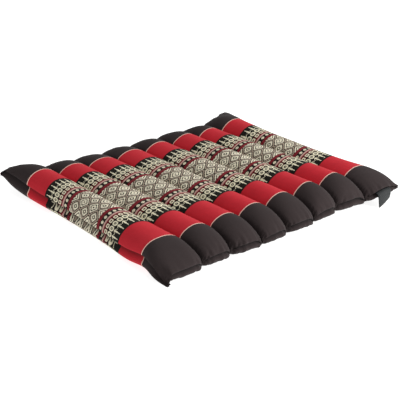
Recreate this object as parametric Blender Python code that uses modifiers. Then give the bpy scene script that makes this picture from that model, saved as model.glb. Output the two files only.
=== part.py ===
"""Quilted yoga cushion: eight stuffed channels side by side in one cotton cover, with a label in its end seam.

Metres, +Z up. X runs across the channels and Y along them. The cushion lies on its underside on z = 0, and the
middle of its box stands over the origin.

The cover is a top panel and an underside panel, sewn together round their rim. Each panel is a coarse grid whose
points a few functions place: four columns of squares to a channel, and rows that crowd towards the two ends.
Grooves and rim are creased, so that Subdivision Surface keeps them as sewn lines.
"""

import math

import bmesh
import bpy
from mathutils import Vector

# Cushion, in metres
PITCH = 0.0685
GROOVE_HEIGHT = 0.0407
UNDER_GROOVE_HEIGHT = 0.0066
HALF_LENGTH = {"near": 0.2370, "far": 0.2430}
END_TAPER = 0.0604
END_DRAW_IN = 0.0080
END_DIP = 0.0050
LONGER_ON_THE_LEFT = 0.028

# The end seam hangs lower than the corners, and lowest just left of each groove
END_SEAM_HEIGHT = 0.0240
CORNER_SEAM_HEIGHT = 0.0300
END_SEAM_DROP = 0.0045
END_SEAM_DROP_AT = 0.80
END_SEAM_DROP_REACH = 0.25

# The two sides are drawn in at their middle: how far each one stands out past the crest of the outermost channel, and
# how high its seam runs
LEFT_BULGE = {"near": 0.0505, "middle": 0.0310, "far": 0.0335}
RIGHT_BULGE = {"near": 0.0450, "middle": 0.0300, "far": 0.0420}
SIDE_SEAM_HEIGHT = {"near": 0.0270, "middle": 0.0235, "far": 0.0315}

# How round the two panels run down to the end seam: 1 is a straight slope, 2 an ellipse. The outermost channels
# run to the side seam in a quarter ellipse above and, with this power of its cosine, in a fuller curve below
TOP_ROUNDNESS = 1.50
UNDER_ROUNDNESS = 2.10
SIDE_UNDER_POWER = 0.35

# Height of the arch between two grooves, as a share of the pitch, and the share of it that lies flat underneath,
# with how far the filling there would reach below the floor if the floor didn't press it flat
ARCH_RISE = 0.21
FLAT_SHARE = 0.5
PRESSED_IN = 0.0006

# The cream line crosses the channels at this distance from the middle: the tables below were read there
LINE_AT = 0.1655

# The seven sewn grooves, from left to right, as far apart as on the real one: x at the near and the far line. The
# near end isn't quite straight, and "out" says how far it stands out where the groove meets it
GROOVES = [
    {"near": -0.2050, "far": -0.2035, "out": -0.0020},
    {"near": -0.1365, "far": -0.1370, "out": -0.0040},
    {"near": -0.0690, "far": -0.0695, "out": 0.0070},
    {"near": -0.0025, "far": 0.0000, "out": -0.0005},
    {"near": 0.0685, "far": 0.0685, "out": 0.0020},
    {"near": 0.1380, "far": 0.1380, "out": -0.0090},
    {"near": 0.2100, "far": 0.2015, "out": 0.0050},
]

# The eight channels, from left to right, each filled a little differently: height at the near and the far line, and
# how far the near end stands out there
CHANNELS = [
    {"near": 0.0545, "far": 0.0595, "out": 0.0020},
    {"near": 0.0560, "far": 0.0560, "out": -0.0025},
    {"near": 0.0555, "far": 0.0530, "out": 0.0015},
    {"near": 0.0565, "far": 0.0535, "out": 0.0030},
    {"near": 0.0585, "far": 0.0550, "out": 0.0005},
    {"near": 0.0605, "far": 0.0575, "out": -0.0050},
    {"near": 0.0600, "far": 0.0565, "out": -0.0055},
    {"near": 0.0560, "far": 0.0630, "out": 0.0060},
]
LAST = len(CHANNELS) - 1

# The cover's four corners hold no filling. Each row says how far a corner's tip stands off from the place where
# the plain side and end seams would meet, outwards in X and Y and up, and how far in, across and along the cushion,
# the cloth goes with it
CORNERS = [
    {"side": -1, "end": -1, "out_x": -0.0160, "out_y": -0.0010, "up": -0.0200, "reach": (0.014, 0.027)},
    {"side": 1, "end": -1, "out_x": -0.0040, "out_y": -0.0030, "up": -0.0080, "reach": (0.025, 0.025)},
    {"side": -1, "end": 1, "out_x": -0.0005, "out_y": 0.0145, "up": 0.0105, "reach": (0.055, 0.055)},
    {"side": 1, "end": 1, "out_x": 0.0040, "out_y": 0.0155, "up": 0.0120, "reach": (0.035, 0.035)},
]

# The grid of each panel
COLUMNS_PER_CHANNEL = 4
COLUMNS = COLUMNS_PER_CHANNEL * len(CHANNELS)
STRAIGHT_ROWS = 8
END_ROWS = 5
SMOOTHING = 1
MERGE = 0.00001

# Label: a doubled ribbon, its top edge held in the end seam of the last channel
LABEL_LEFT = 0.2290
LABEL_WIDTH = 0.036
LABEL_THICKNESS = 0.0014
LABEL_OFF_SEAM = 0.0011
LABEL_FOOT = {"left": 0.0006, "right": 0.0098}
LABEL_FLARE = {"left": 0.0070, "right": 0.0005}
LABEL_SAG = 0.0015
LABEL_SQUARES = 6

COTTON_COLOUR = (0.45, 0.022, 0.030, 1)
RIBBON_COLOUR = (0.030, 0.034, 0.034, 1)
CLOTH_ROUGHNESS = 0.9


def between(row, y):
    """A measure at y, from its values at the near and the far line, and a little beyond them."""
    share = (y / LINE_AT + 1) / 2
    return row["near"] + (row["far"] - row["near"]) * min(max(share, -0.2), 1.2)


def bowed(row, y):
    """A measure at y, on the curve through its values at the near line, in the middle and at the far line."""
    share = min(max(y / LINE_AT, -1.4), 1.4)
    bow = (row["near"] + row["far"]) / 2 - row["middle"]
    return row["middle"] + (row["far"] - row["near"]) / 2 * share + bow * share**2


def half_length(y):
    """How far the end on this side of the middle is from it."""
    return HALF_LENGTH["near" if y < 0 else "far"]


def arch(share):
    """Height of the shallow round arch over a channel: 1 at its middle, share 0, and 0 at its grooves, -1 and 1."""
    radius = (0.25 + ARCH_RISE**2) / (2 * ARCH_RISE)
    return (math.sqrt(radius**2 - (share / 2) ** 2) - radius + ARCH_RISE) / ARCH_RISE


def place_in_channel(column):
    """The channel that a grid column is in, and how far across it: -1 and 1 at its grooves."""
    channel = min(int(column // COLUMNS_PER_CHANNEL), LAST)
    return channel, 2 * (column / COLUMNS_PER_CHANNEL - channel) - 1


def stands_out(column):
    """How far the near end stands out at a grid column."""
    channel, share = place_in_channel(column)
    crest = CHANNELS[channel]["out"]
    groove = channel - 1 if share < 0 else channel
    beside = GROOVES[groove]["out"] if 0 <= groove < len(GROOVES) else crest
    return crest + (beside - crest) * share**2


def end_seam_height(column):
    """Height of the end seam at a grid column."""
    channel, share = place_in_channel(column)
    if channel == LAST:
        return END_SEAM_HEIGHT + (CORNER_SEAM_HEIGHT - END_SEAM_HEIGHT) * min(1 + share, 1)
    rise = share**2 if channel == 0 and share < 0 else 0
    drop = END_SEAM_DROP * math.exp(-(((share - END_SEAM_DROP_AT) / END_SEAM_DROP_REACH) ** 2))
    return END_SEAM_HEIGHT + (CORNER_SEAM_HEIGHT - END_SEAM_HEIGHT) * rise - drop


def section(column, y):
    """x of a grid column at y, and the heights there of the top and of the underside, away from the ends."""
    channel, share = place_in_channel(column)
    crest = between(CHANNELS[channel], y)
    grooves = [between(row, y) for row in GROOVES]
    edges = [grooves[0] - PITCH, *grooves, grooves[-1] + PITCH]
    middle = (edges[channel] + edges[channel + 1]) / 2
    outward = {0: -1, LAST: 1}.get(channel, 0)
    if share * outward > 0:
        turn = abs(share) * math.pi / 2
        side_seam = bowed(SIDE_SEAM_HEIGHT, y)
        top = side_seam + (crest - side_seam) * math.cos(turn)
        under = side_seam * (1 - abs(math.cos(turn)) ** SIDE_UNDER_POWER)
        bulge = bowed(LEFT_BULGE if outward < 0 else RIGHT_BULGE, y)
        return middle + outward * bulge * math.sin(turn), top, under
    top = GROOVE_HEIGHT + (crest - GROOVE_HEIGHT) * arch(share)
    lifted = max(abs(share) - FLAT_SHARE, 0) / (1 - FLAT_SHARE)
    under = UNDER_GROOVE_HEIGHT * lifted**2 - PRESSED_IN * (1 - lifted)
    return middle + share * (edges[channel + 1] - edges[channel]) / 2, top, under


def row_places():
    """y of each grid row: even along the straight part, and crowded where the ends turn down to their seam."""
    places = []
    for step in range(-STRAIGHT_ROWS // 2, STRAIGHT_ROWS // 2 + 1):
        places.append((half_length(step) - END_TAPER) * 2 * step / STRAIGHT_ROWS)
    for k in range(1, END_ROWS + 1):
        turned = END_TAPER * (math.sin(math.pi / 2 * k / END_ROWS) - 1)
        places += [-half_length(-1) - turned, half_length(1) + turned]
    return sorted(places)


def surface(column, y, top_side):
    """A point of the top panel or of the underside panel, with the corners still plain."""
    x, top, under = section(column, y)
    side_seam = bowed(SIDE_SEAM_HEIGHT, y)
    to_end = min(max(abs(y) - half_length(y) + END_TAPER, 0) / END_TAPER, 1)
    top_fill = (1 - to_end**TOP_ROUNDNESS) ** (1 / TOP_ROUNDNESS)
    under_fill = (1 - to_end**UNDER_ROUNDNESS) ** (1 / UNDER_ROUNDNESS)
    end_seam = end_seam_height(column)
    seam = end_seam + (side_seam - end_seam) * top_fill
    gathered = (to_end * abs(2 * column / COLUMNS_PER_CHANNEL % 2 - 1)) ** 2
    if not COLUMNS_PER_CHANNEL / 2 < column < COLUMNS - COLUMNS_PER_CHANNEL / 2:
        gathered = 0
    if top_side:
        z = seam + (top - side_seam) * top_fill - END_DIP * gathered
    else:
        z = seam - (side_seam - under) * under_fill - END_DIP * gathered * (1 - under_fill)
    length = 1 - END_DRAW_IN * gathered / half_length(y)
    skew = 1 - LONGER_ON_THE_LEFT * x / (PITCH * len(CHANNELS) / 2)
    out = stands_out(column) * to_end**2 if y < 0 else 0
    return Vector((x, y * length * skew - out, z))


def plain_corner(corner):
    """Where the plain side and end seams would meet."""
    end = corner["end"]
    return surface(0 if corner["side"] < 0 else COLUMNS, end * half_length(end), True)


def with_corners(point):
    """The point, carried along with the corners' empty tips where one is near."""
    moved = point.copy()
    for corner in CORNERS:
        away = point - plain_corner(corner)
        across, along = (away[axis] / corner["reach"][axis] for axis in (0, 1))
        offset = Vector((corner["side"] * corner["out_x"], corner["end"] * corner["out_y"], corner["up"]))
        moved += offset * math.exp(-(across**2) - along**2)
    return moved


def add_panel(bm, crease, top_side):
    """One panel of the cover: a flat grid, each point of which is carried to its place on the filled cushion."""
    rows = row_places()
    last_row = len(rows) - 1
    grid = bmesh.ops.create_grid(bm, x_segments=COLUMNS, y_segments=last_row, size=1)
    place = {
        vert: (round((vert.co.x + 1) / 2 * COLUMNS), round((vert.co.y + 1) / 2 * last_row))
        for vert in grid["verts"]
    }
    for edge in {edge for vert in place for edge in vert.link_edges}:
        (column_a, row_a), (column_b, row_b) = (place[vert] for vert in edge.verts)
        on_groove = column_a == column_b and column_a % COLUMNS_PER_CHANNEL == 0
        on_end = row_a == row_b and row_a in (0, last_row)
        edge[crease] = float(on_groove or on_end)
    # Each corner square is cut through its corner, so that the two panels share no edge but the rim
    at = {spot: vert for vert, spot in place.items()}
    for column, inner_column in ((0, 1), (COLUMNS, COLUMNS - 1)):
        for row, inner_row in ((0, 1), (last_row, last_row - 1)):
            bmesh.ops.connect_verts(bm, verts=[at[column, row], at[inner_column, inner_row]])
    for vert, (column, row) in place.items():
        vert.co = with_corners(surface(column, rows[row], top_side))
    if not top_side:
        faces = {face for vert in place for face in vert.link_faces}
        bmesh.ops.reverse_faces(bm, faces=list(faces))


def make_object(name, bm, collection, material):
    """Turns the bmesh into a smooth-shaded object of this name in the collection."""
    mesh = bpy.data.meshes.new(name)
    bm.to_mesh(mesh)
    bm.free()
    mesh.shade_smooth()
    mesh.materials.append(material)
    made = bpy.data.objects.new(name, mesh)
    collection.objects.link(made)
    return made


def make_material(name, colour):
    """A rough, non-metallic cloth."""
    material = bpy.data.materials.new(name)
    material.use_nodes = True
    shader = material.node_tree.nodes["Principled BSDF"]
    shader.inputs["Base Color"].default_value = colour
    shader.inputs["Roughness"].default_value = CLOTH_ROUGHNESS
    shader.inputs["Metallic"].default_value = 0
    return material


def make_cushion(collection):
    """The filled cover, as one closed solid."""
    bm = bmesh.new()
    crease = bm.edges.layers.float.new("crease_edge")
    add_panel(bm, crease, top_side=True)
    add_panel(bm, crease, top_side=False)
    bmesh.ops.remove_doubles(bm, verts=bm.verts, dist=MERGE)
    cushion = make_object("cushion", bm, collection, make_material("cotton_cover", COTTON_COLOUR))
    smooth = cushion.modifiers.new("smooth", "SUBSURF")
    smooth.levels = SMOOTHING
    smooth.render_levels = SMOOTHING
    press_flat(cushion)
    return cushion


def press_flat(piece):
    """Keeps the piece as smoothed, and brings every point that is below the floor up to it."""
    graph = bpy.context.evaluated_depsgraph_get()
    smoothed = bpy.data.meshes.new_from_object(piece.evaluated_get(graph))
    piece.modifiers.clear()
    piece.data = smoothed
    for vert in smoothed.vertices:
        vert.co.z = max(vert.co.z, 0)


def near_seam(x):
    """The point of the near end seam at x, in the last channel."""
    steps = 10 * COLUMNS_PER_CHANNEL
    columns = [COLUMNS - COLUMNS_PER_CHANNEL * k / steps for k in range(steps + 1)]
    points = [with_corners(surface(column, -half_length(-1), True)) for column in columns]
    return min(points, key=lambda point: abs(point.x - x))


def make_label(collection):
    """The ribbon: a small grid hung from the end seam, leaning out to the floor, then given its thickness."""
    bm = bmesh.new()
    grid = bmesh.ops.create_grid(bm, x_segments=LABEL_SQUARES, y_segments=LABEL_SQUARES, size=1)
    for vert in grid["verts"]:
        across = (vert.co.x + 1) / 2
        down = (1 - vert.co.y) / 2
        x = LABEL_LEFT + LABEL_WIDTH * across
        seam = near_seam(x)
        foot = LABEL_FOOT["left"] + (LABEL_FOOT["right"] - LABEL_FOOT["left"]) * across
        flare = LABEL_FLARE["left"] + (LABEL_FLARE["right"] - LABEL_FLARE["left"]) * across
        out = LABEL_OFF_SEAM + flare * down**1.5 + LABEL_SAG * math.sin(math.pi * down)
        vert.co = (x, seam.y - out, seam.z + (foot - seam.z) * down)
    label = make_object("label", bm, collection, make_material("woven_ribbon", RIBBON_COLOUR))
    thick = label.modifiers.new("doubled", "SOLIDIFY")
    thick.thickness = LABEL_THICKNESS
    thick.offset = 0
    return label


def stand_over_origin(pieces):
    """Moves the pieces together, so that the middle of their box is over the origin."""
    graph = bpy.context.evaluated_depsgraph_get()
    points = [vert.co for piece in pieces for vert in piece.evaluated_get(graph).data.vertices]
    for piece in pieces:
        for axis in (0, 1):
            places = [point[axis] for point in points]
            piece.location[axis] = -(min(places) + max(places)) / 2


def main():
    for leftover in list(bpy.data.objects):
        bpy.data.objects.remove(leftover)
    collection = bpy.data.collections.new("yoga cushion")
    bpy.context.scene.collection.children.link(collection)
    stand_over_origin([make_cushion(collection), make_label(collection)])


main()
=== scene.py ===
"""Dressed model of a quilted yoga cushion: one stuffed cotton cover sewn into eight channels, with a label.

Metres, +Z up. X runs across the channels and Y along them. The cover repeats the solid's measures on a finer
grid and is then filled by a short cloth simulation. Its banded pattern lies on the cloth's own coordinates.
"""

import math
import random

import bmesh
import bpy
from mathutils import Matrix, Vector, noise


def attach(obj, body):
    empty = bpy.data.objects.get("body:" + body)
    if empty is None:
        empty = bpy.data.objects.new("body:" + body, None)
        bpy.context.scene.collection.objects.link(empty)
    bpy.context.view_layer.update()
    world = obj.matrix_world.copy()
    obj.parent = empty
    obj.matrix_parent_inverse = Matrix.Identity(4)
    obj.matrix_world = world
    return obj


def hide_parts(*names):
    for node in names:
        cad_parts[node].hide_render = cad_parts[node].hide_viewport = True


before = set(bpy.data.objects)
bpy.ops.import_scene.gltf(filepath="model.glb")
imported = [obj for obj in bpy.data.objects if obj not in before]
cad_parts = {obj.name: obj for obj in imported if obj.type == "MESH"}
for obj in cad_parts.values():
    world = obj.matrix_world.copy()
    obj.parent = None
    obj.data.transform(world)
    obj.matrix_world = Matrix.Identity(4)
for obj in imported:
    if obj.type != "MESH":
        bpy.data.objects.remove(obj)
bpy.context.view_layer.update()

MM = 0.001

# The cover's measures in metres, as in the solid. "near" and "far" hold at the two cream lines, LINE_AT
# from the middle, and the measures go on past a line for BEYOND_LINES of the way between the two
LINE_AT = 0.1655
BEYOND_LINES = 0.2
PITCH = 0.0685
GROOVE_HEIGHT = 0.0407
UNDER_GROOVE_HEIGHT = 0.0066
SIDE_SEAM_HEIGHT = {"near": 0.0270, "middle": 0.0235, "far": 0.0315}
LEFT_BULGE = {"near": 0.0505, "middle": 0.0310, "far": 0.0335}
RIGHT_BULGE = {"near": 0.0450, "middle": 0.0300, "far": 0.0420}
HALF_LENGTH = {"near": 0.2370, "far": 0.2430}
LONGER_ON_THE_LEFT = 0.028

# Both end seams hang lowest just left of each groove, and rise to the corners. Where the drop is, and how
# wide, is counted across a channel from -1 to 1
END_SEAM_HEIGHT = 0.0240
CORNER_SEAM_HEIGHT = 0.0300
END_SEAM_DROP = 0.0045
END_SEAM_DROP_AT = 0.80
END_SEAM_DROP_REACH = 0.25

# The ends turn down to their seams over this length, and the grooves draw them in and down there
END_TAPER = 0.0604
END_DRAW_IN = 0.0080
END_DIP = 0.0050

# How the ends are rounded: 1 is a straight slope and 2 a round arch. A groove's own roundness fades away
# from it with this power
TOP_ROUNDNESS = 1.50
UNDER_ROUNDNESS = 2.10
GROOVE_ROUNDNESS = 1.15
PINCH_POWER = 4

# Across a channel: the rise of its arch as a share of its width, how much steeper its sides get at the ends,
# the share that lies flat on the floor, and how far that is pressed in. Past the outermost crests, the
# underside turns up to the side seams on a curve with this power
ARCH_RISE = 0.21
STEEPER_AT_ENDS = 0.45
FLAT_SHARE = 0.5
PRESSED_IN = 0.0006
SIDE_UNDER_POWER = 0.35

# The seven sewn grooves, from left to right: x at the near and the far line, and how far the near end
# stands out
GROOVES = [
    {"near": -0.2050, "far": -0.2035, "out": -0.0020},
    {"near": -0.1365, "far": -0.1370, "out": -0.0040},
    {"near": -0.0690, "far": -0.0695, "out": 0.0070},
    {"near": -0.0025, "far": 0.0000, "out": -0.0005},
    {"near": 0.0685, "far": 0.0685, "out": 0.0020},
    {"near": 0.1380, "far": 0.1380, "out": -0.0090},
    {"near": 0.2100, "far": 0.2015, "out": 0.0050},
]

# The eight channels, from left to right: height at the near and the far line, and how far the near end
# stands out
CHANNELS = [
    {"near": 0.0545, "far": 0.0595, "out": 0.0020},
    {"near": 0.0560, "far": 0.0560, "out": -0.0025},
    {"near": 0.0555, "far": 0.0530, "out": 0.0015},
    {"near": 0.0565, "far": 0.0535, "out": 0.0030},
    {"near": 0.0585, "far": 0.0550, "out": 0.0005},
    {"near": 0.0605, "far": 0.0575, "out": -0.0050},
    {"near": 0.0600, "far": 0.0565, "out": -0.0055},
    {"near": 0.0560, "far": 0.0630, "out": 0.0060},
]
LAST = len(CHANNELS) - 1
MIDDLE_CHANNEL = 3

# How far each corner's empty tip stands off from the place where the plain seams would meet
CORNERS = [
    {"side": -1, "end": -1, "out_x": -0.0160, "out_y": -0.0010, "up": -0.0200, "reach": (0.014, 0.027)},
    {"side": 1, "end": -1, "out_x": -0.0040, "out_y": -0.0030, "up": -0.0080, "reach": (0.025, 0.025)},
    {"side": -1, "end": 1, "out_x": -0.0005, "out_y": 0.0145, "up": 0.0105, "reach": (0.055, 0.055)},
    {"side": 1, "end": 1, "out_x": 0.0040, "out_y": 0.0155, "up": 0.0120, "reach": (0.035, 0.035)},
]

# How flat the empty tips are, and how far in from a corner they start to fill
TIP_EMPTY = 0.5
TIP_REACH = 0.018

# Places where the filled cover sits off its even shape: where, how far it moves, and how far round that place
SHIFTS = [
    {"at": (-0.285, -0.180), "by": (0.006, 0.0, 0.005), "reach": (0.030, 0.036)},
    {"at": (-0.210, -0.236), "by": (0.0045, 0.0, 0.0), "reach": (0.028, 0.030)},
    {"at": (-0.278, 0.250), "by": (0.0, -0.002, -0.007), "reach": (0.010, 0.010)},
]

# The fine grid of each panel, and the cloth it stands for: the width sewn into a channel, and the width
# from the crest of an outermost channel down to its side seam
HALF_COLUMNS = 8
OUTER_COLUMNS = 12
STRAIGHT_ROWS = 40
END_ROWS = 18
CHANNEL_CLOTH = 0.0773
OUTER_CLOTH = 0.0620
HALF_CLOTH_WIDTH = (len(CHANNELS) - 1) / 2 * CHANNEL_CLOTH + OUTER_CLOTH
ARCH_ANGLE = 2 * math.atan(2 * ARCH_RISE)

# A point's column, row and side are kept as one whole number, in which the columns are this far apart
COLUMN_STEP = 1000

# The bake map: the underside's panel lies below this height of it and the top's above, inside a margin
UNDERSIDE_BAKE_TO = 0.285
BAKE_MARGIN = 0.015

# Filling: the pressure inside, how far it may move the cloth, and the share of each channel that lies on
# the floor
PRESSURE = 4
MOST_MOVE = 0.006
RESTS_UP_TO = 0.5
SIMULATED_FRAMES = 20

# The formulas below put the middle of the straight part at the origin; this brings the box of the whole there
TO_MIDDLE = Matrix.Translation((-0.00301, -0.00911, 0))

# The rim seams draw the cloth in: how deep and how wide. Down in them the cloth is painted darker as shade,
# within a smaller reach, and in the grooves that painted shade is weaker by a share
SEAM_DEPTH = 0.0070
SEAM_REACH = 0.0028
PAINTED_SHADE_REACH = 0.0016
GROOVE_PAINTED_SHADE = 0.8

# A notch where a groove runs into an end seam, and the share of its drop by which the underside rises there
NOTCH_DEPTH = 0.0040
NOTCH_DROP = 0.0015
NOTCH_WIDTH = 0.007
NOTCH_REACH = 0.018
UNDER_NOTCH_SHARE = 0.3

# The stitches cut into the top along each groove, deeper within a reach of its ends, which fades with
# this power
CUT_ALONG = 0.0018
CUT_AT_END = 0.0060
CUT_REACH = 0.075
CUT_REACH_POWER = 4
CUT_WIDTH = 0.0036

# Cloth puckers along the end seams: how high and how far in, how many puckers to a metre across and along,
# and the layer of the noise that they are taken from
PUCKER = 0.0055
PUCKER_REACH = 0.013
PUCKERS_TO_A_METRE = (170, 30)
PUCKER_LAYER = 7.0

# It puckers along the grooves too, every 8 mm or so: how high, from where to where beside the groove, and the
# waves in radians to a metre of cloth. The sway brings them closer and apart again, unlike at each groove
GROOVE_PUCKER = 0.0006
GROOVE_PUCKER_REACH = 0.007
GROOVE_PUCKER_FROM = 0.002
GROOVE_PUCKER_WAVES = 760
PUCKER_SWAY = 2.5
PUCKER_SWAY_WAVES = 140
PUCKER_SWAY_BY_GROOVE = 50

# The filling is a little uneven: how high its lumps are, how many to a metre across and along, their layer of
# the noise, and how far from a groove and from an end they are whole
LUMPS = 0.0016
LUMPS_TO_A_METRE = (18, 12)
LUMPS_LAYER = 3.0
LUMPS_OFF_GROOVE = 0.015
LUMPS_OFF_END = 0.02

# Pleats fan out from where a groove meets an end seam, two on either side: how far each starts from the
# groove, and how far it leans away, in radians. Both are then changed by a factor drawn by lot, and the
# length, depth and width are drawn by lot too. A pleat counts up to PLEAT_ASIDE across from its foot, and
# is weaker on the underside
PLEATS = ({"off": 0.0045, "lean": 0.10}, {"off": 0.0095, "lean": 0.35})
PLEAT_OFF_BY = (0.7, 1.3)
PLEAT_LEAN_BY = (0.5, 1.5)
PLEAT_LENGTH = (0.011, 0.021)
PLEAT_DEPTH = (0.0018, 0.0036)
PLEAT_WIDTH = (0.0016, 0.0026)
PLEAT_ASIDE = 0.022
UNDER_PLEAT_SHARE = 0.6

# Pleats and puckers stay within this distance from the end seams
END_FOLDS_REACH = 0.060

# Folds at the near left corner: both ends, as distances in metres of cloth from the side seam and the end
# seam
FOLDS = [
    {"tip": (0.004, 0.052), "foot": (0.0015, 0.026), "depth": 0.0065, "width": 0.0032},
    {"tip": (0.020, 0.030), "foot": (0.013, 0.006), "depth": 0.0014, "width": 0.0035},
]

# The pattern band and the two cream lines lie a little off the middle of the cover, and run slightly askew
BAND_OFF_MIDDLE_MM = 6.1
LINES_OFF_MIDDLE_MM = -1.1
ASKEW = {"near": -0.008, "far": 0.011}

# Label: a doubled ribbon, its top edge held in the near end seam of the last channel. Its left side and
# its right side differ in how high the foot is over the floor and how far it flares out
LABEL_LEFT = 0.2290
LABEL_WIDTH = 0.036
LABEL_PLIES_APART = 0.8 * MM
LABEL_THICKNESS = 0.45 * MM
LABEL_WOVEN_EDGE = 1.6 * MM
LABEL_OFF_SEAM = 0.0011
LABEL_FOOT = {"left": 0.0006, "right": 0.0098}
LABEL_FLARE = {"left": 0.0070, "right": 0.0005}
LABEL_FLARE_POWER = 1.5
LABEL_SAG = 0.0015

# How deep the label's top edge lies in the seam, the share of its length over which it comes out and
# turns down, and the share of that over which it stays level
LABEL_IN_SEAM = 0.0055
LABEL_TUCKED = 0.23
LABEL_LEVEL = 0.6

# The label's grid: squares across and along, and how many of those along go round the fold
LABEL_COLUMNS = 12
LABEL_ROWS = 30
LABEL_FOLD_ROWS = 4

CAMERA = {
    "target": (-0.07713, -0.08719, 0.04111),
    "distance": 1.78841,
    "azimuth": -42.5120,
    "elevation": 23.4174,
    "roll": 1.7649,
    "lens": 90.511,
}


def between(values, y):
    """A measure at y, from its values at the near and the far line, and a little beyond them."""
    share = (y / LINE_AT + 1) / 2
    share = min(max(share, -BEYOND_LINES), 1 + BEYOND_LINES)
    return values["near"] + (values["far"] - values["near"]) * share


def bowed(values, y):
    """A measure at y, on the curve through its values at the near line, in the middle and at the far line."""
    furthest = 1 + 2 * BEYOND_LINES
    share = min(max(y / LINE_AT, -furthest), furthest)
    bow = (values["near"] + values["far"]) / 2 - values["middle"]
    return values["middle"] + (values["far"] - values["near"]) / 2 * share + bow * share**2


def bell(away, reach):
    """1 at a place, fading to 0 over a reach away from it."""
    return math.exp(-((away / reach) ** 2))


def half_length(y):
    """How far the end on this side of the middle is from it."""
    return HALF_LENGTH["near" if y < 0 else "far"]


def stands_out(channel, across):
    """How far the near end stands out at a place across a channel's cloth."""
    crest = CHANNELS[channel]["out"]
    groove = channel - 1 if across < 0 else channel
    beside = GROOVES[groove]["out"] if 0 <= groove < LAST else crest
    return crest + (beside - crest) * across**2


def arch(share):
    """Height of the shallow arch over a channel: 1 in the middle, share 0, and 0 at the grooves, -1 and 1."""
    half = 0.5
    radius = (half**2 + ARCH_RISE**2) / (2 * ARCH_RISE)
    return (math.sqrt(radius**2 - (share * half) ** 2) - radius + ARCH_RISE) / ARCH_RISE


def column_spots():
    """The channel of each grid column, and how far across its cloth it lies: -1 and 1 at the grooves."""
    half, outer = (
        [(k / count + math.sin(math.pi / 2 * k / count)) / 2 for k in range(count + 1)]
        for count in (HALF_COLUMNS, OUTER_COLUMNS)
    )
    spots = [(0, -share) for share in reversed(outer)] + [(0, share) for share in half[1:]]
    for channel in range(1, LAST):
        spots += [(channel, -share) for share in half[-2:0:-1]] + [(channel, share) for share in half]
    return spots + [(LAST, -share) for share in half[-2:0:-1]] + [(LAST, share) for share in outer]


def past_crest(channel, across):
    """True on the outer half of the first and of the last channel, which runs down to the side seam."""
    return across * {0: -1, LAST: 1}.get(channel, 0) > 0


def end_seam_height(channel, across):
    """Height of the end seam: lowest just left of each groove, and rising again towards the corners."""
    if channel == LAST:
        return END_SEAM_HEIGHT + (CORNER_SEAM_HEIGHT - END_SEAM_HEIGHT) * min(1 + across, 1)
    rise = across**2 if past_crest(channel, across) else 0
    drop = END_SEAM_DROP * bell(across - END_SEAM_DROP_AT, END_SEAM_DROP_REACH)
    return END_SEAM_HEIGHT + (CORNER_SEAM_HEIGHT - END_SEAM_HEIGHT) * rise - drop


def section(channel, across, y, to_end):
    """x at y of a place across a channel's cloth, and the heights there of the top and of the underside."""
    crest = between(CHANNELS[channel], y)
    grooves = [between(groove, y) for groove in GROOVES]
    edges = [grooves[0] - PITCH, *grooves, grooves[-1] + PITCH]
    middle = (edges[channel] + edges[channel + 1]) / 2
    if past_crest(channel, across):
        turn = abs(across) * math.pi / 2
        side_seam = bowed(SIDE_SEAM_HEIGHT, y)
        top = side_seam + (crest - side_seam) * math.cos(turn)
        under = side_seam * (1 - abs(math.cos(turn)) ** SIDE_UNDER_POWER)
        bulge = bowed(LEFT_BULGE if channel == 0 else RIGHT_BULGE, y)
        return middle + math.copysign(bulge, across) * math.sin(turn), top, under
    share = math.sin(across * ARCH_ANGLE) / math.sin(ARCH_ANGLE)
    top = GROOVE_HEIGHT + (crest - GROOVE_HEIGHT) * arch(share) ** (1 - STEEPER_AT_ENDS * to_end)
    lifted = max(abs(share) - FLAT_SHARE, 0) / (1 - FLAT_SHARE)
    under = UNDER_GROOVE_HEIGHT * lifted**2 - PRESSED_IN * (1 - lifted)
    return middle + share * (edges[channel + 1] - edges[channel]) / 2, top, under


def tip_fill(across, y):
    """How full the cover is past the crest of an outermost channel: less so towards a corner's empty tip."""
    aside = LEFT_BULGE["near"] * (1 - math.sin(abs(across) * math.pi / 2))
    from_corner = math.hypot(aside, half_length(y) - abs(y))
    return 1 - TIP_EMPTY * bell(from_corner, TIP_REACH)


def surface(channel, across, y, top_side):
    """A point of the top panel or of the underside panel, with the corners still plain."""
    at_side = past_crest(channel, across)
    to_end = min(max(abs(y) - half_length(y) + END_TAPER, 0) / END_TAPER, 1)
    x, top, under = section(channel, across, y, to_end)
    pinched = 0 if at_side else across**PINCH_POWER
    roundness = TOP_ROUNDNESS + (GROOVE_ROUNDNESS - TOP_ROUNDNESS) * pinched
    top_fill = (1 - to_end**roundness) ** (1 / roundness)
    under_fill = (1 - to_end**UNDER_ROUNDNESS) ** (1 / UNDER_ROUNDNESS)
    side_seam, end_seam = bowed(SIDE_SEAM_HEIGHT, y), end_seam_height(channel, across)
    seam = end_seam + (side_seam - end_seam) * top_fill
    filled = tip_fill(across, y) if at_side else 1
    gathered = 0 if at_side else (to_end * abs(across)) ** 2
    if top_side:
        z = seam + (top - side_seam) * top_fill * filled - END_DIP * gathered
    else:
        z = seam - (side_seam - under) * under_fill * filled - END_DIP * gathered * (1 - under_fill)
    length = 1 - END_DRAW_IN * gathered / half_length(y)
    skew = 1 - LONGER_ON_THE_LEFT * x / (PITCH * len(CHANNELS) / 2)
    out = stands_out(channel, across) * to_end**2 if y < 0 else 0
    return Vector((x, y * length * skew - out, z))


def plain_corner(corner):
    """Where the plain side and end seams would meet."""
    side, end = corner["side"], corner["end"]
    return surface(0 if side < 0 else LAST, side, end * half_length(end), True)


def nearness(point, place, reach):
    """1 at a place seen from above, fading to 0 over its reach across and along the cushion."""
    return math.exp(-((point.x - place[0]) / reach[0]) ** 2 - ((point.y - place[1]) / reach[1]) ** 2)


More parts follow.
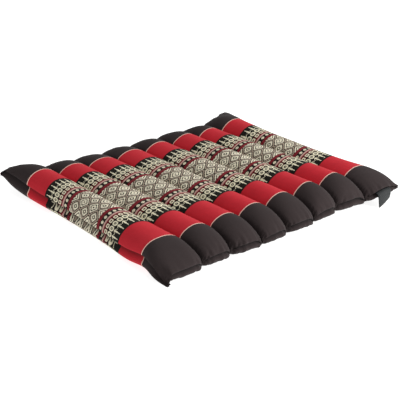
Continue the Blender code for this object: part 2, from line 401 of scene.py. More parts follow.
def with_corners(point):
    """The point, carried along with the corners' empty tips and the places that sit off the even shape."""
    moved = point.copy()
    for corner in CORNERS:
        offset = Vector((corner["side"] * corner["out_x"], corner["end"] * corner["out_y"], corner["up"]))
        moved += offset * nearness(point, plain_corner(corner).xy, corner["reach"])
    for shift in SHIFTS:
        moved += Vector(shift["by"]) * nearness(point, shift["at"], shift["reach"])
    return moved


def row_places():
    """y of each grid row: even along the straight part, and closer where the ends turn down to a seam."""
    places = []
    for step in range(-STRAIGHT_ROWS // 2, STRAIGHT_ROWS // 2 + 1):
        places.append((half_length(step) - END_TAPER) * 2 * step / STRAIGHT_ROWS)
    for k in range(1, END_ROWS + 1):
        turned = END_TAPER * (math.sin(math.pi / 2 * k / END_ROWS) - 1)
        places += [-half_length(-1) - turned, half_length(1) + turned]
    return sorted(places)


def cloth_across():
    """Distance of each grid column from the middle of the cloth, in metres of cloth."""
    places = []
    for channel, across in column_spots():
        width = OUTER_CLOTH if past_crest(channel, across) else CHANNEL_CLOTH / 2
        places.append((channel + 0.5 - len(CHANNELS) / 2) * CHANNEL_CLOTH + across * width)
    return places


def cloth_along():
    """Distance of each grid row from the middle of the cloth, followed over the crest of a middle channel."""
    crest = [surface(MIDDLE_CHANNEL, 0, y, True) for y in row_places()]
    run = [0]
    for here, there in zip(crest, crest[1:]):
        run.append(run[-1] + (there.yz - here.yz).length)
    half = run[len(crest) // 2]
    return [place - half for place in run]


def end_pleats(near_end, far_end):
    """The pleats and folds at both end seams, in metres of cloth: two ends, depth and width of each."""
    chance = random.Random(11)
    pleats = []
    for end, seam in ((-1, near_end), (1, far_end)):
        for groove in range(1, len(CHANNELS)):
            sewn = (groove - len(CHANNELS) / 2) * CHANNEL_CLOTH
            for side in (-1, 1):
                for pleat in PLEATS:
                    foot = (sewn + side * pleat["off"] * chance.uniform(*PLEAT_OFF_BY), seam)
                    run = chance.uniform(*PLEAT_LENGTH)
                    turn = pleat["lean"] * chance.uniform(*PLEAT_LEAN_BY)
                    tip = (foot[0] + side * run * math.sin(turn), foot[1] - end * run * math.cos(turn))
                    depth = chance.uniform(*PLEAT_DEPTH)
                    width = chance.uniform(*PLEAT_WIDTH)
                    pleats.append({"foot": foot, "tip": tip, "depth": depth, "width": width})
    for fold in FOLDS:
        foot, tip = (
            (from_side - HALF_CLOTH_WIDTH, from_end + near_end)
            for from_side, from_end in (fold["foot"], fold["tip"])
        )
        pleats.append({"foot": foot, "tip": tip, "depth": fold["depth"], "width": fold["width"]})
    return pleats


def pleat_depth(pleat, u, v):
    """How deep a pleat is at a place of the cloth. It fades towards its tip and to both sides."""
    foot, tip = pleat["foot"], pleat["tip"]
    run = (tip[0] - foot[0], tip[1] - foot[1])
    off = (u - foot[0], v - foot[1])
    length = math.hypot(*run)
    share = min(max((off[0] * run[0] + off[1] * run[1]) / length**2, 0), 1)
    aside = math.hypot(off[0] - share * run[0], off[1] - share * run[1])
    return pleat["depth"] * (1 - share**2) * bell(aside, pleat["width"])


def pleats_depth(pleats, u, v):
    """How deep the pleats of the nearer end are together, of those that start close enough to count."""
    near = [pleat for pleat in pleats if abs(pleat["foot"][0] - u) < PLEAT_ASIDE and pleat["foot"][1] * v > 0]
    return sum(pleat_depth(pleat, u, v) for pleat in near)


def end_puckers(u, v, from_end):
    """Height of the waves along an end seam. They run straight in from it, and fade."""
    waves = noise.noise(Vector((u * PUCKERS_TO_A_METRE[0], v * PUCKERS_TO_A_METRE[1], PUCKER_LAYER)))
    return PUCKER * waves * math.exp(-from_end / PUCKER_REACH)


def uneven_top(u, v, sewn, from_end):
    """How far the top stands out: lumps of filling between the grooves, and puckers along each groove."""
    aside = abs(u - sewn)
    lumps = noise.noise(Vector((u * LUMPS_TO_A_METRE[0], v * LUMPS_TO_A_METRE[1], LUMPS_LAYER)))
    free = 1 - bell(aside, LUMPS_OFF_GROOVE)
    beside = bell(aside, GROOVE_PUCKER_REACH) * min(aside / GROOVE_PUCKER_FROM, 1)
    sway = PUCKER_SWAY * math.sin(v * PUCKER_SWAY_WAVES + sewn * PUCKER_SWAY_BY_GROOVE)
    puckers = GROOVE_PUCKER * math.sin(v * GROOVE_PUCKER_WAVES + sway) * beside
    return LUMPS * lumps * free * min(from_end / LUMPS_OFF_END, 1) + puckers


def groove_cut(aside, from_end, off_seam):
    """How deep the stitches cut into the top at a distance to the side of a groove."""
    at_end = math.exp(-((from_end / CUT_REACH) ** CUT_REACH_POWER))
    return (CUT_ALONG + (CUT_AT_END - CUT_ALONG) * at_end) * off_seam * bell(aside, CUT_WIDTH)


def painted_shade_in_seam(from_rim, aside, notch):
    """How much painted shade a place gets down in a seam: 1 in the rim seams, and less in the grooves and
    notches.
    """
    in_groove = GROOVE_PAINTED_SHADE * bell(aside, PAINTED_SHADE_REACH)
    return max(bell(from_rim, PAINTED_SHADE_REACH), in_groove, GROOVE_PAINTED_SHADE * notch**3)


def askew(across, along):
    """How much further out the cloth is cut here: its pattern runs slightly askew towards both ends."""
    return 1 + ASKEW["near" if along < 0 else "far"] * across / HALF_CLOTH_WIDTH


def cloth_places(mesh):
    """For each point of the cover's mesh: its place on the cloth from the middle, and True on the top."""
    places = [None] * len(mesh.vertices)
    cloth, bake = mesh.uv_layers["Cloth"].data, mesh.uv_layers["OFBake"].data
    for loop in mesh.loops:
        u, v = cloth[loop.index].uv
        v /= askew(u, v)
        before = places[loop.vertex_index]
        top_side = bake[loop.index].uv.y > UNDERSIDE_BAKE_TO or bool(before and before[2])
        places[loop.vertex_index] = (u, v, top_side)
    return places


def crumple(cover):
    """Sets the rim seams in, and gives the cloth its pleats, puckers and the uneven filling beneath it."""
    mesh = cover.data
    along_places = cloth_along()
    near_end, far_end = along_places[0], along_places[-1]
    pleats = end_pleats(near_end, far_end)
    normals = [vert.normal.copy() for vert in mesh.vertices]
    # This attribute holds the painted shade down in the seams, grooves and notches, by which the cloth's
    # material darkens
    crease = mesh.attributes.new("Crease", "FLOAT", "POINT")
    for vert, normal, (u, v, top_side) in zip(mesh.vertices, normals, cloth_places(mesh)):
        from_side, from_end = HALF_CLOTH_WIDTH - abs(u), max(min(v - near_end, far_end - v), 0)
        off_seam = 1 - math.exp(-from_end / SEAM_REACH)
        sewn = max(min(round(u / CHANNEL_CLOTH), LAST // 2), -(LAST // 2)) * CHANNEL_CLOTH
        aside = abs(u - sewn)
        notch = math.exp(-((aside / NOTCH_WIDTH) ** 2) - (from_end / NOTCH_REACH) ** 2)
        vert.co.y -= math.copysign(NOTCH_DEPTH * notch, v)
        vert.co.z -= NOTCH_DROP * notch * (1 if top_side else -UNDER_NOTCH_SHARE)
        out = 0
        if top_side:
            vert.co.z -= groove_cut(aside, from_end, off_seam)
            out += uneven_top(u, v, sewn, from_end)
        if from_end < END_FOLDS_REACH:
            out -= (1 if top_side else UNDER_PLEAT_SHARE) * pleats_depth(pleats, u, v)
            out += end_puckers(u, v, from_end) * off_seam
        # Painted shade: how dark the material paints this point down in a seam, groove or notch
        crease.data[vert.index].value = painted_shade_in_seam(min(from_end, from_side), aside, notch)
        vert.co += normal * out
        vert.co.y -= math.copysign(SEAM_DEPTH * bell(from_end, SEAM_REACH), v)
        vert.co.x -= math.copysign(SEAM_DEPTH * bell(from_side, SEAM_REACH), u)
        vert.co.z = max(vert.co.z, 0)


def spot_number(column, row, top_side):
    """A grid place as one whole number."""
    return COLUMN_STEP * column + 2 * row + top_side


def numbered_spot(number):
    """The grid place of such a number: column, row, and 1 on the top."""
    return number // COLUMN_STEP, number % COLUMN_STEP // 2, number % 2


def keep_seams_sharp(layers, place, last_row):
    """Creases the edges along the grooves and the end seams, so that rounding the cover leaves them sharp."""
    spots = column_spots()
    for edge in {edge for vert in place for edge in vert.link_edges}:
        (column_a, row_a), (column_b, row_b) = (place[vert] for vert in edge.verts)
        on_groove = column_a == column_b and abs(spots[column_a][1]) == 1
        on_end = row_a == row_b and row_a in (0, last_row)
        edge[layers["crease"]] = float(on_groove or on_end)
        edge.smooth = not (on_groove or on_end)


def map_cloth(layers, place, top_side):
    """Gives each face of a panel its place on the cloth in metres, and its place on the bake map."""
    across_places, along_places = cloth_across(), cloth_along()
    low, high = BAKE_MARGIN, UNDERSIDE_BAKE_TO
    if top_side:
        low, high = UNDERSIDE_BAKE_TO + BAKE_MARGIN, 1 - BAKE_MARGIN
    for face in {face for vert in place for face in vert.link_faces}:
        for loop in face.loops:
            column, row = place[loop.vert]
            across, along = across_places[column], along_places[row]
            run = (along / along_places[-1] + 1) / 2
            loop[layers["cloth"]].uv = (across, along * askew(across, along))
            share = (across / HALF_CLOTH_WIDTH + 1) / 2
            loop[layers["bake"]].uv = (BAKE_MARGIN + (1 - 2 * BAKE_MARGIN) * share, low + (high - low) * run)


def add_panel(bm, layers, top_side):
    """One panel of the cover: a flat grid, each point carried to its place on the filled cushion."""
    rows, spots = row_places(), column_spots()
    last_row, last_column = len(rows) - 1, len(spots) - 1
    grid = bmesh.ops.create_grid(bm, x_segments=last_column, y_segments=last_row, size=1)
    place = {
        vert: (round((vert.co.x + 1) / 2 * last_column), round((vert.co.y + 1) / 2 * last_row))
        for vert in grid["verts"]
    }
    keep_seams_sharp(layers, place, last_row)
    map_cloth(layers, place, top_side)
    at = {spot: vert for vert, spot in place.items()}
    # The square in each corner is split along the line into the tip
    for column, inner_column in ((0, 1), (last_column, last_column - 1)):
        for row, inner_row in ((0, 1), (last_row, last_row - 1)):
            bmesh.ops.connect_verts(bm, verts=[at[column, row], at[inner_column, inner_row]])
    for vert, (column, row) in place.items():
        vert.co = with_corners(surface(*spots[column], rows[row], top_side))
        vert[layers["spot"]] = spot_number(column, row, top_side)
    if not top_side:
        bmesh.ops.reverse_faces(bm, faces=list({face for vert in place for face in vert.link_faces}))
    return {
        spot: vert for spot, vert in at.items() if spot[0] in (0, last_column) or spot[1] in (0, last_row)
    }


def make_piece(name, bm, material):
    """Turns the bmesh into an object of this name, with this material."""
    mesh = bpy.data.meshes.new(name)
    bm.to_mesh(mesh)
    bm.free()
    mesh.materials.append(material)
    piece = bpy.data.objects.new(name, mesh)
    bpy.context.scene.collection.objects.link(piece)
    return piece


def cut_flat(cover):
    """Lays out the cover's cloth as it is cut, and marks where it is sewn or rests on the floor."""
    mesh = cover.data
    spots, across_places, along_places = column_spots(), cloth_across(), cloth_along()
    cover.shape_key_add(name="sewn")
    flat = cover.shape_key_add(name="flat cut")
    sewn = cover.vertex_groups.new(name="sewn")
    for k, point in enumerate(flat.data):
        column, row, top_side = numbered_spot(mesh.attributes["spot"].data[k].value)
        point.co = (across_places[column], along_places[row], 0)
        across = abs(spots[column][1])
        on_seam = across == 1 or row in (0, len(along_places) - 1)
        on_floor = not top_side and across < RESTS_UP_TO
        sewn.add([k], 1 if on_seam or on_floor else 0, "REPLACE")
    return flat


def fill(cover):
    """Fills the sewn cover: the flat-cut cloth is blown up between its seams, which stay where they are."""
    flat = cut_flat(cover)
    start = [vert.co.copy() for vert in cover.data.vertices]
    cloth = cover.modifiers.new("filling", "CLOTH")
    settings = cloth.settings
    settings.rest_shape_key = flat
    settings.vertex_group_mass = "sewn"
    settings.use_pressure = True
    settings.uniform_pressure_force = PRESSURE
    settings.effector_weights.gravity = 0
    settings.quality = 5
    settings.mass = 0.05
    settings.tension_stiffness = settings.compression_stiffness = 20
    settings.shear_stiffness = 8
    settings.bending_stiffness = 0.2
    settings.air_damping = 3
    cloth.collision_settings.use_collision = False
    cloth.point_cache.frame_end = SIMULATED_FRAMES
    for moment in range(1, SIMULATED_FRAMES + 1):
        bpy.context.scene.frame_set(moment)
    graph = bpy.context.evaluated_depsgraph_get()
    blown = [vert.co.copy() for vert in cover.evaluated_get(graph).data.vertices]
    cover.modifiers.clear()
    cover.shape_key_clear()
    for vert, before, after in zip(cover.data.vertices, start, blown):
        move = after - before
        vert.co = before + move * min(1, MOST_MOVE / max(move.length, MOST_MOVE / 2))
        vert.co.z = max(vert.co.z, 0)
    bpy.context.scene.frame_set(1)


def smooth_once(piece):
    """Rounds the piece with one level of subdivision, kept in its mesh."""
    smooth = piece.modifiers.new("smooth", "SUBSURF")
    smooth.levels = smooth.render_levels = 1
    smoothed = bpy.data.meshes.new_from_object(piece.evaluated_get(bpy.context.evaluated_depsgraph_get()))
    piece.modifiers.clear()
    piece.data = smoothed
    for vert in smoothed.vertices:
        vert.co.z = max(vert.co.z, 0)


def sew_cover(material):
    """The two panels sewn together round their rim, as one closed mesh."""
    bm = bmesh.new()
    layers = {
        "crease": bm.edges.layers.float.new("crease_edge"),
        "cloth": bm.loops.layers.uv.new("Cloth"),
        "bake": bm.loops.layers.uv.new("OFBake"),
        "spot": bm.verts.layers.int.new("spot"),
    }
    top_rim = add_panel(bm, layers, top_side=True)
    under_rim = add_panel(bm, layers, top_side=False)
    bmesh.ops.weld_verts(bm, targetmap={vert: top_rim[spot] for spot, vert in under_rim.items()})
    for (column, row), vert in top_rim.items():
        vert[layers["spot"]] = spot_number(column, row, True)
    for face in bm.faces:
        face.smooth = True
    return make_piece("cotton_cover", bm, material)


def make_cover(material):
    """The stuffed cover."""
    cover = sew_cover(material)
    cover.data.transform(TO_MIDDLE)
    fill(cover)
    smooth_once(cover)
    crumple(cover)
    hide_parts("cushion")
    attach(cover, "root")


def near_seam(x):
    """The point of the near end seam at x, in the last channel."""
    steps = 40
    points = [
        with_corners(surface(LAST, 2 * k / steps - 1, -half_length(-1), True)) for k in range(steps + 1)
    ]
    return min(points, key=lambda point: abs(point.x - x))


# The middle field: a quarter of its repeat, from the middle of a blossom, top left, to the middle of an eye,
# bottom right. # is cream, o taupe, and the ground shows at each dot
FIELD_CHART = """
##...##.##...oooo.
#...#####...oooo..
...#####...oooo...
..#####...oooo...#
#####....oooo..###
.###...oooo...####
###...oooo...####.
#...oooo...####...
...oooo...####...#
..oooo...####...##
.oooo...####...###
ooo...####...#####
oo...####...#####.
o...####...#####..
""".split()
FIELD_COLUMN_MM = 0.958
FIELD_ROW_MM = 0.977

# The border on either side of the field: half of its repeat, from the axis of a pendant to halfway to the
# next, and from the field outwards. # is cream, o taupe, r dark red, and the ground shows at each dot
BORDER_CHART = """
.......
rrrrrrr
rrrrrrr
r.r.r.r
r.r.r.r
r.r.r.r
r.r.r.r
rrrrrrr
rrrrrrr
.......
.......
.......
##.....
###....
####...
#.##...
#.##...
####...
###....
##.....
.......
.......
.......
ooooooo
ooooooo
ooooooo
ooooooo
ooooooo
.......
rrrrrrr
rrrrrrr
.......
.......
####...
#####..
#####..
..###..
...##..
...##..
..###..
#####..
#####..
####...
.......
.......
.......
##.....
####...
#####..
#####..
.#####.
..####.
...###.
#..###.
#..###.
...###.
..####.
.#####.
#####..
#####..
####...
##.....
.......
.......
#......
##.....
###....
####...
##.##..
##..##.
##...#.
##...#.
##.....
##.....
##.....
##.....
##.....
##.....
#......
#......
#......
#......
#......
#......
#......
#......
#......
.......
.......
.......
.......
.......
.......
""".split()
BORDER_COLUMN_MM = 0.85
BORDER_ROW_MM = 0.76
BORDER_ROWS_PER_STOP = 3
BORDER_FROM_MM = 3 * len(FIELD_CHART) * FIELD_ROW_MM

# The ground from the middle of the band outwards, where each stretch starts in mm: the field, lines and
# beads, the dark red strip, rings and pendants, and the plain red
GROUND = [
    (0, "#2b251f"),
    (BORDER_FROM_MM, "#1c1612"),
    (62.3, "#4d0f16"),
    (74.0, "#15150f"),
    (111.0, "#ba222e"),
]
GROUND_REACH_MM = 130

# The threads of the figures
FIELD_TAUPE, FIELD_CREAM = "#a39382", "#e8e0c8"
BORDER_RED, BORDER_TAUPE, BORDER_CREAM = "#8a1f2c", "#c39a90", "#e6dfc2"

# The cream line towards either end, from the middle between the two lines, and the plain dark cloth past it
LINE_FROM_MM, LINE_TO_MM = 168.7, 170.5
LINE_COLOUR, END_COLOUR = "#eec6b6", "#2f2727"

# Wear: patches of about 3 cm, and slubs of about 8 mm that run across. Each lightens or darkens a little,
# and down in its seams the cloth is painted darker as shade
PATCHES_TO_A_METRE = 30
SLUBS_TO_A_MM = (0.12, 0.9, 1)
LEAST_SHADE = 0.77
PATCH_SHADE = 0.30
SLUB_SHADE = 0.16
PAINTED_SEAM_SHADE = -0.75

# The real weave has about 0.5 mm from thread to thread. It is drawn three times as coarse, so that it
# shows. The heights of the weave and of the figures' thread are in mm
THREAD_MM = 1.5
WEAVE_HEIGHT = 0.10
FIGURE_HEIGHT = 0.18

# The real ribbon has ribs 0.4 mm apart. They are drawn twice as coarse
RIB = 0.8 * MM
RIB_HEIGHT = 0.1 * MM
RIB_SHADE = 0.08

# A colour mix has its factor at socket 0, its two colours at these, and its result at this output
COLOUR_A, COLOUR_B, MIXED = 6, 7, 2


def linear(code):
    """Linear RGBA of an sRGB hex value."""
    channels = [int(code[k : k + 2], 16) / 255 for k in (1, 3, 5)]
    return (*[c / 12.92 if c <= 0.04045 else ((c + 0.055) / 1.055) ** 2.4 for c in channels], 1)


def node(tree, kind, settings, inputs):
    """Adds a node: its settings by name, then its inputs. An input is a value, an output or a whole node.

    A whole node stands for its first output in use. The stops of a colour ramp are pairs of position and
    colour. A new ramp has one stop at either end: the first takes the first colour, and the last goes.
    """
    made = tree.nodes.new(kind)
    for name, value in settings.items():
        if name == "stops":
            ramp = made.color_ramp
            ramp.interpolation = "CONSTANT"
            for position, colour in value[1:]:
                ramp.elements.new(position).color = colour
            ramp.elements[0].color = value[0][1]
            ramp.elements.remove(ramp.elements[-1])
        else:
            setattr(made, name, value)
    for name, value in inputs.items():
        if isinstance(value, bpy.types.Node):
            value = next(output for output in value.outputs if output.enabled)
        if isinstance(value, bpy.types.NodeSocket):
            tree.links.new(value, made.inputs[name])
        else:
            made.inputs[name].default_value = value
    return made


def charted(tree, chart, signs, column, row, rows_per_stop=1):
    """The chart as nodes: an output for each sign, 1 where the square at column and row holds that sign.

    Each stop of a colour ramp holds the squares of one or more rows as the binary digits of a number below
    1: red for the first sign, green for the second and blue for the third. Half a digit is added, against
    rounding.
    """
    wide = len(chart[0])
    colours = []
    for first in range(0, len(chart), rows_per_stop):
        squares = "".join(chart[first : first + rows_per_stop])
        sums = [sum(2.0 ** -(k + 1) for k, square in enumerate(squares) if square == sign) for sign in signs]
        sums = [value + 2.0 ** -(len(squares) + 1) for value in sums] + [0] * (3 - len(signs))
        colours.append((*sums, 1))
    tall = len(colours)
    stops = [(k / tall, colour) for k, colour in enumerate(colours)]

    # The stop that holds the row, read in its middle
    stop = node(tree, "ShaderNodeMath", {"operation": "DIVIDE"}, {0: row, 1: rows_per_stop})
    stop = node(tree, "ShaderNodeMath", {"operation": "FLOOR"}, {0: stop})
    middle = node(tree, "ShaderNodeMath", {"operation": "ADD"}, {0: stop, 1: 0.5})
    middle = node(tree, "ShaderNodeMath", {"operation": "DIVIDE"}, {0: middle, 1: tall})
    ramp = node(tree, "ShaderNodeValToRGB", {"stops": stops}, {0: middle})
    split = node(tree, "ShaderNodeSeparateColor", {}, {0: ramp.outputs[0]})

    # The digit of the square: the number is raised until that digit stands just before the point
    within = node(tree, "ShaderNodeMath", {"operation": "MODULO"}, {0: row, 1: rows_per_stop})
    within = node(tree, "ShaderNodeMath", {"operation": "FLOOR"}, {0: within})
    digit = node(tree, "ShaderNodeMath", {"operation": "MULTIPLY_ADD"}, {0: within, 1: wide, 2: column})
    digit = node(tree, "ShaderNodeMath", {"operation": "ADD"}, {0: digit, 1: 1})
    power = node(tree, "ShaderNodeMath", {"operation": "POWER"}, {0: 2, 1: digit})
    masks = []
    for part in range(len(signs)):
        raised = node(tree, "ShaderNodeMath", {"operation": "MULTIPLY"}, {0: split.outputs[part], 1: power})
        whole = node(tree, "ShaderNodeMath", {"operation": "FLOOR"}, {0: raised})
        masks.append(node(tree, "ShaderNodeMath", {"operation": "MODULO"}, {0: whole, 1: 2}))
    return masks


def square_of(tree, place, size, count):
    """Which square a place is in, of a repeat of so many squares that is mirrored at both its ends."""
    folded = node(tree, "ShaderNodeMath", {"operation": "PINGPONG"}, {0: place, 1: count * size})
    squares = node(tree, "ShaderNodeMath", {"operation": "DIVIDE"}, {0: folded, 1: size})
    square = node(tree, "ShaderNodeMath", {"operation": "FLOOR"}, {0: squares})
    return node(tree, "ShaderNodeMath", {"operation": "MINIMUM"}, {0: square, 1: count - 1})


def field_figures(tree, across, off):
    """Where the field shows its cream thread and where its taupe one."""
    column = square_of(tree, across, FIELD_COLUMN_MM, len(FIELD_CHART[0]))
    row = square_of(tree, off, FIELD_ROW_MM, len(FIELD_CHART))
    return charted(tree, FIELD_CHART, "#o", column, row)


def border_figures(tree, across, off):
    """Where the border shows its cream, its taupe and its dark red thread."""
    column = square_of(tree, across, BORDER_COLUMN_MM, len(BORDER_CHART[0]))
    row = node(tree, "ShaderNodeMath", {"operation": "SUBTRACT"}, {0: off, 1: BORDER_FROM_MM})
    row = node(tree, "ShaderNodeMath", {"operation": "DIVIDE"}, {0: row, 1: BORDER_ROW_MM})
    row = node(tree, "ShaderNodeMath", {"operation": "FLOOR"}, {0: row})
    row = node(tree, "ShaderNodeClamp", {}, {0: row, 1: 0, 2: len(BORDER_CHART) - 1})
    return charted(tree, BORDER_CHART, "#or", column, row, BORDER_ROWS_PER_STOP)


def figured_band(tree, across, along):
    """Colour of the band with its figures and of the plain red past it, and a mask for each thread on it."""
    off = node(tree, "ShaderNodeMath", {"operation": "SUBTRACT"}, {0: along, 1: BAND_OFF_MIDDLE_MM})
    off = node(tree, "ShaderNodeMath", {"operation": "ABSOLUTE"}, {0: off})
    field_cream, field_taupe = field_figures(tree, across, off)
    cream, taupe, red = border_figures(tree, across, off)
    ground = node(tree, "ShaderNodeMath", {"operation": "DIVIDE"}, {0: off, 1: GROUND_REACH_MM})
    stops = [(start / GROUND_REACH_MM, linear(code)) for start, code in GROUND]
    ground = node(tree, "ShaderNodeValToRGB", {"stops": stops}, {0: ground})
    in_field = node(tree, "ShaderNodeMath", {"operation": "LESS_THAN"}, {0: off, 1: BORDER_FROM_MM})
    in_border = node(tree, "ShaderNodeMath", {"operation": "SUBTRACT"}, {0: 1, 1: in_field})
    colour = ground.outputs[0]
    threads = []
    for figures, inside, thread in (
        (field_taupe, in_field, FIELD_TAUPE),
        (field_cream, in_field, FIELD_CREAM),
        (red, in_border, BORDER_RED),
        (taupe, in_border, BORDER_TAUPE),
        (cream, in_border, BORDER_CREAM),
    ):
        shown = node(tree, "ShaderNodeMath", {"operation": "MULTIPLY"}, {0: figures, 1: inside})
        threads.append(shown)
        colours = {0: shown, COLOUR_A: colour, COLOUR_B: linear(thread)}
        colour = node(tree, "ShaderNodeMix", {"data_type": "RGBA"}, colours).outputs[MIXED]
    return colour, threads


def dark_ends(tree, along, colour):
    """The colour, but the cream line and the plain dark cotton from there to the end seams."""
    off = node(tree, "ShaderNodeMath", {"operation": "SUBTRACT"}, {0: along, 1: LINES_OFF_MIDDLE_MM})
    off = node(tree, "ShaderNodeMath", {"operation": "ABSOLUTE"}, {0: off})
    from_line = node(tree, "ShaderNodeMath", {"operation": "GREATER_THAN"}, {0: off, 1: LINE_FROM_MM})
    past_line = node(tree, "ShaderNodeMath", {"operation": "GREATER_THAN"}, {0: off, 1: LINE_TO_MM})
    colours = {0: past_line, COLOUR_A: linear(LINE_COLOUR), COLOUR_B: linear(END_COLOUR)}
    end = node(tree, "ShaderNodeMix", {"data_type": "RGBA"}, colours).outputs[MIXED]
    colours = {0: from_line, COLOUR_A: colour, COLOUR_B: end}
    return node(tree, "ShaderNodeMix", {"data_type": "RGBA"}, colours).outputs[MIXED]


def worn_and_seam_shaded(tree, spot, colour):
    """The colour with its wear, soft patches of dye and slubs along the threads, and with painted shade in
    the seams.
    """
    place = node(tree, "ShaderNodeTexCoord", {}, {}).outputs["Object"]
    patches = node(
        tree,
        "ShaderNodeTexNoise",
        {},
        {"Vector": place, "Scale": PATCHES_TO_A_METRE, "Detail": 6, "Roughness": 0.65},
    ).outputs[0]
    stretched = node(tree, "ShaderNodeVectorMath", {"operation": "MULTIPLY"}, {0: spot, 1: SLUBS_TO_A_MM})
    slubs = node(tree, "ShaderNodeTexNoise", {}, {"Vector": stretched, "Scale": 1, "Detail": 2}).outputs[0]
    # Painted shade: the colour is darkened down in the rim seams, the grooves and the notches
    seam = node(tree, "ShaderNodeAttribute", {"attribute_name": "Crease"}, {}).outputs["Fac"]
    shade = node(
        tree, "ShaderNodeMath", {"operation": "MULTIPLY_ADD"}, {0: patches, 1: PATCH_SHADE, 2: LEAST_SHADE}
    )
    shade = node(tree, "ShaderNodeMath", {"operation": "MULTIPLY_ADD"}, {0: slubs, 1: SLUB_SHADE, 2: shade})
    lit = node(tree, "ShaderNodeMath", {"operation": "MULTIPLY_ADD"}, {0: seam, 1: PAINTED_SEAM_SHADE, 2: 1})
    shade = node(tree, "ShaderNodeMath", {"operation": "MULTIPLY"}, {0: shade, 1: lit})
    return node(tree, "ShaderNodeVectorMath", {"operation": "SCALE"}, {0: colour, "Scale": shade})


def thread_relief(tree, spot, threads):
    """Normals of the plain weave, with the figures' thread a little proud of it."""
    waves_to_a_mm = math.pi / THREAD_MM
    crossing = node(tree, "ShaderNodeVectorMath", {"operation": "SCALE"}, {0: spot, "Scale": waves_to_a_mm})
    waves = node(tree, "ShaderNodeVectorMath", {"operation": "SINE"}, {0: crossing})
    split = node(tree, "ShaderNodeSeparateXYZ", {}, {0: waves})
    across, along = split.outputs[0], split.outputs[1]
    weave = node(tree, "ShaderNodeMath", {"operation": "MULTIPLY"}, {0: across, 1: along})
    height = node(tree, "ShaderNodeMath", {"operation": "MULTIPLY"}, {0: weave, 1: WEAVE_HEIGHT})
    for shown in threads:
        height = node(
            tree, "ShaderNodeMath", {"operation": "MULTIPLY_ADD"}, {0: shown, 1: FIGURE_HEIGHT, 2: height}
        )
    return node(tree, "ShaderNodeBump", {}, {"Height": height, "Distance": MM, "Strength": 0.6})


def new_material(name):
    """A material of this name, its nodes and its shader."""
    material = bpy.data.materials.new(name)
    material.use_nodes = True
    return material, material.node_tree, material.node_tree.nodes["Principled BSDF"]


def finish_shader(tree, shader, colour, relief, values):
    """Gives the shader its colour, its relief and its plain values."""
    tree.links.new(colour.outputs[0], shader.inputs["Base Color"])
    tree.links.new(relief.outputs[0], shader.inputs["Normal"])
    for name, value in values.items():
        shader.inputs[name].default_value = value


def banded_cotton():
    """Plain-woven cotton with a brocaded band: matt, faintly fuzzy, its figures a little proud in thread."""
    material, tree, shader = new_material("brocaded cotton")
    cloth = node(tree, "ShaderNodeUVMap", {"uv_map": "Cloth"}, {})
    spot = node(tree, "ShaderNodeVectorMath", {"operation": "SCALE"}, {0: cloth, "Scale": 1 / MM})
    split = node(tree, "ShaderNodeSeparateXYZ", {}, {0: spot})
    across, along = split.outputs[0], split.outputs[1]
    colour, threads = figured_band(tree, across, along)
    colour = dark_ends(tree, along, colour)
    values = {
        "Roughness": 0.9,
        "IOR": 1.47,
        "Specular IOR Level": 0.15,
        "Sheen Weight": 0.03,
        "Sheen Roughness": 0.5,
    }
    finish_shader(tree, shader, worn_and_seam_shaded(tree, spot, colour), thread_relief(tree, spot, threads), values)
    return material


def ribbon():
    """Taffeta ribbon: dark grey polyester with fine ribs across it, a soft gleam and firmer woven edges."""
    material, tree, shader = new_material("taffeta ribbon")
    cloth = node(tree, "ShaderNodeUVMap", {"uv_map": "Cloth"}, {})
    split = node(tree, "ShaderNodeSeparateXYZ", {}, {0: cloth})
    across, along = split.outputs[0], split.outputs[1]
    ribs = node(tree, "ShaderNodeMath", {"operation": "MULTIPLY"}, {0: along, 1: 2 * math.pi / RIB})
    ribs = node(tree, "ShaderNodeMath", {"operation": "SINE"}, {0: ribs})
    aside = node(tree, "ShaderNodeMath", {"operation": "ABSOLUTE"}, {0: across})
    edge_from = LABEL_WIDTH / 2 - LABEL_WOVEN_EDGE
    edge = node(tree, "ShaderNodeMath", {"operation": "GREATER_THAN"}, {0: aside, 1: edge_from})
    colours = {0: edge, COLOUR_A: linear("#191c1d"), COLOUR_B: linear("#24292a")}
    mixed = node(tree, "ShaderNodeMix", {"data_type": "RGBA"}, colours).outputs[MIXED]
    shade = node(tree, "ShaderNodeMath", {"operation": "MULTIPLY_ADD"}, {0: ribs, 1: RIB_SHADE, 2: 1})
    colour = node(tree, "ShaderNodeVectorMath", {"operation": "SCALE"}, {0: mixed, "Scale": shade})
    relief = node(tree, "ShaderNodeBump", {}, {"Height": ribs, "Distance": RIB_HEIGHT, "Strength": 0.5})
    values = {"Roughness": 0.7, "IOR": 1.57, "Specular IOR Level": 0.25, "Sheen Weight": 0.02}
    finish_shader(tree, shader, colour, relief, values)
    return material


def label_row(step):
    """How far down a row of the label lies, its ply (1 outer, -1 inner, 0 the fold), and its turn there."""
    half = (LABEL_ROWS - LABEL_FOLD_ROWS) / 2
    if step <= half:
        return step / half, 1, 0
    if step >= half + LABEL_FOLD_ROWS:
        return (LABEL_ROWS - step) / half, -1, 0
    return 1, 0, (step - half) / LABEL_FOLD_ROWS * math.pi


def left_to_right(values, across):
    """A measure of the label between its left side, 0, and its right side, 1."""
    return values["left"] + (values["right"] - values["left"]) * across


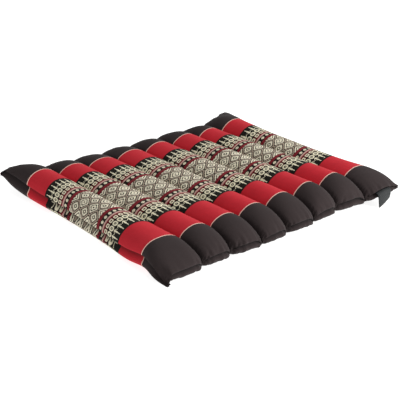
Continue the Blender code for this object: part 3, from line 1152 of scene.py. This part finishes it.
def label_point(across, step):
    """A point of the label. The top of the ribbon lies level in the seam, then turns down and leans out."""
    down, ply, turn = label_row(step)
    x = LABEL_LEFT + LABEL_WIDTH * across
    seam = near_seam(x)
    tucked = max(1 - down / LABEL_TUCKED, 0)
    hangs = math.pi / 2 * (1 - tucked)
    level_to = LABEL_LEVEL * LABEL_TUCKED
    fall = max(down - level_to, 0) / (1 - level_to)
    foot = left_to_right(LABEL_FOOT, across) + LABEL_THICKNESS / 2 + LABEL_PLIES_APART / 2
    flare = left_to_right(LABEL_FLARE, across) * down**LABEL_FLARE_POWER
    out = LABEL_OFF_SEAM * (1 - tucked) + flare + LABEL_SAG * math.sin(math.pi * down)
    out -= LABEL_IN_SEAM * tucked
    offset = LABEL_PLIES_APART / 2 * (ply * math.sin(hangs) if ply else math.cos(turn))
    lift = LABEL_PLIES_APART / 2 * (ply * math.cos(hangs) if ply else -math.sin(turn))
    return x, seam.y - out - offset, seam.z + (foot - seam.z) * fall + lift


def make_label(material):
    """The label: a ribbon folded double, hung from the seam by its two ends and leaning out to the floor."""
    bm = bmesh.new()
    uv = bm.loops.layers.uv.new("Cloth")
    grid = bmesh.ops.create_grid(bm, x_segments=LABEL_COLUMNS, y_segments=LABEL_ROWS, size=1)
    place = {}
    for vert in grid["verts"]:
        across = (vert.co.x + 1) / 2
        step = round((vert.co.y + 1) / 2 * LABEL_ROWS)
        place[vert] = (across, step)
        vert.co = label_point(across, step)
    length = 0.068
    for face in bm.faces:
        face.smooth = True
        for loop in face.loops:
            across, step = place[loop.vert]
            loop[uv].uv = (LABEL_WIDTH * (across - 0.5), length * step / LABEL_ROWS)
    label = make_piece("label_ribbon", bm, material)
    label.data.transform(TO_MIDDLE)
    solid = label.modifiers.new("cloth", "SOLIDIFY")
    solid.thickness = LABEL_THICKNESS
    solid.offset = 0
    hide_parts("label")
    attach(label, "root")


def make_floor():
    """The plain pale floor: matt paint, lit evenly."""
    bm = bmesh.new()
    bmesh.ops.create_grid(bm, x_segments=1, y_segments=1, size=6)
    material, _, shader = new_material("matt painted floor")
    shader.inputs["Base Color"].default_value = linear("#bcbcba")
    shader.inputs["Roughness"].default_value = 0.9
    shader.inputs["Emission Color"].default_value = linear("#ffffff")
    shader.inputs["Emission Strength"].default_value = 0.86
    floor = make_piece("floor", bm, material)


def add_light(name, place, size, watts):
    """A soft square light that looks at the middle of the cushion."""
    light = bpy.data.lights.new(name, "AREA")
    light.size = size
    light.energy = watts
    lamp = bpy.data.objects.new(name, light)
    lamp.location = place
    lamp.rotation_euler = (-Vector(place)).to_track_quat("-Z", "Y").to_euler()
    bpy.context.scene.collection.objects.link(lamp)


def light_studio():
    """Even white light from all round, with a soft light overhead and one from the front right."""
    world = bpy.data.worlds.new("studio")
    world.use_nodes = True
    world.node_tree.nodes["Background"].inputs["Color"].default_value = linear("#ffffff")
    world.node_tree.nodes["Background"].inputs["Strength"].default_value = 0.46
    bpy.context.scene.world = world
    add_light("overhead", place=(0.2, 0.2, 2.4), size=2.4, watts=14)
    add_light("front_right", place=(1.3, -2.1, 0.95), size=1.3, watts=82)
    bpy.context.scene.view_settings.view_transform = "Standard"


def place_camera():
    """The camera at the photograph's viewing angle."""
    azimuth, elevation, roll = (math.radians(CAMERA[name]) for name in ("azimuth", "elevation", "roll"))
    level = math.cos(elevation)
    back = Vector((math.sin(azimuth) * level, -math.cos(azimuth) * level, math.sin(elevation)))
    right = (-back).cross(Vector((0, 0, 1))).normalized()
    up = back.cross(right)
    turned_right = right * math.cos(roll) + up * math.sin(roll)
    turned_up = up * math.cos(roll) - right * math.sin(roll)
    camera = bpy.data.cameras.new("camera")
    camera.lens = CAMERA["lens"]
    camera.sensor_width = 36
    holder = bpy.data.objects.new("camera", camera)
    turn = Matrix((turned_right, turned_up, back)).transposed().to_4x4()
    place = Vector(CAMERA["target"]) + back * CAMERA["distance"]
    holder.matrix_world = Matrix.Translation(place) @ turn
    bpy.context.scene.collection.objects.link(holder)
    bpy.context.scene.camera = holder


def main():
    place_camera()
    light_studio()
    make_floor()
    make_cover(banded_cotton())
    make_label(ribbon())


main()
